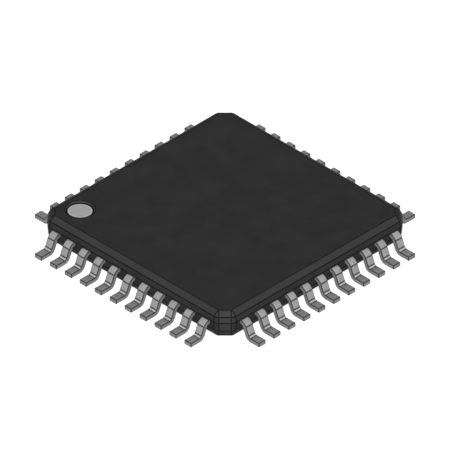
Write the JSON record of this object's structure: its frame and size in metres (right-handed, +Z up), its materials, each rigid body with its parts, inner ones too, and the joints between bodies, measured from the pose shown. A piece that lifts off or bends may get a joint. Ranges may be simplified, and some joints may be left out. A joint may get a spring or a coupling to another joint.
{
  "type": "quad flat pack chip",
  "caption": "Thin square chip package in black moulded epoxy, with gull wing solder leads along all four sides and a round pin 1 mark.",
  "frame": {"origin": "centre of the seating plane, on which the soles of the lead feet stand", "axes": "+Z up from the circuit board; +X and +Y square to the sides; seen from above, pin 1 is at the -X, +Y corner and the pins count anticlockwise"},
  "size_m": [0.012, 0.012, 0.0012],
  "materials": {
    "mold_compound": "fine matte epoxy moulding compound, spark-eroded mould finish",
    "tin_plated_lead": null,
    "bare_lead_frame": null,
    "die_attach_paste": "cured silver-filled epoxy",
    "silicon": null,
    "gold_wire": null,
    "mark_ink": "flat light grey marking ink"
  },
  "bodies": {
    "root": {"lead_01": "tin_plated_lead", "lead_02": "tin_plated_lead", "lead_03": "tin_plated_lead", "lead_04": "tin_plated_lead", "lead_05": "tin_plated_lead", "lead_06": "tin_plated_lead", "lead_07": "tin_plated_lead", "lead_08": "tin_plated_lead", "lead_09": "tin_plated_lead", "lead_10": "tin_plated_lead", "lead_11": "tin_plated_lead", "lead_12": "tin_plated_lead", "lead_13": "tin_plated_lead", "lead_14": "tin_plated_lead", "lead_15": "tin_plated_lead", "lead_16": "tin_plated_lead", "lead_17": "tin_plated_lead", "lead_18": "tin_plated_lead", "lead_19": "tin_plated_lead", "lead_20": "tin_plated_lead", "lead_21": "tin_plated_lead", "lead_22": "tin_plated_lead", "lead_23": "tin_plated_lead", "lead_24": "tin_plated_lead", "lead_25": "tin_plated_lead", "lead_26": "tin_plated_lead", "lead_27": "tin_plated_lead", "lead_28": "tin_plated_lead", "lead_29": "tin_plated_lead", "lead_30": "tin_plated_lead", "lead_31": "tin_plated_lead", "lead_32": "tin_plated_lead", "lead_33": "tin_plated_lead", "lead_34": "tin_plated_lead", "lead_35": "tin_plated_lead", "lead_36": "tin_plated_lead", "lead_37": "tin_plated_lead", "lead_38": "tin_plated_lead", "lead_39": "tin_plated_lead", "lead_40": "tin_plated_lead", "lead_41": "tin_plated_lead", "lead_42": "tin_plated_lead", "lead_43": "tin_plated_lead", "lead_44": "tin_plated_lead", "bond_wires_1": "gold_wire", "bond_wires_2": "gold_wire", "bond_wires_3": "gold_wire", "bond_wires_4": "gold_wire", "die_paddle": "bare_lead_frame", "die_attach": "die_attach_paste", "die": "silicon", "pin_1_mark": "mark_ink", "mold_body": "mold_compound"}
  },
  "joints": []
}
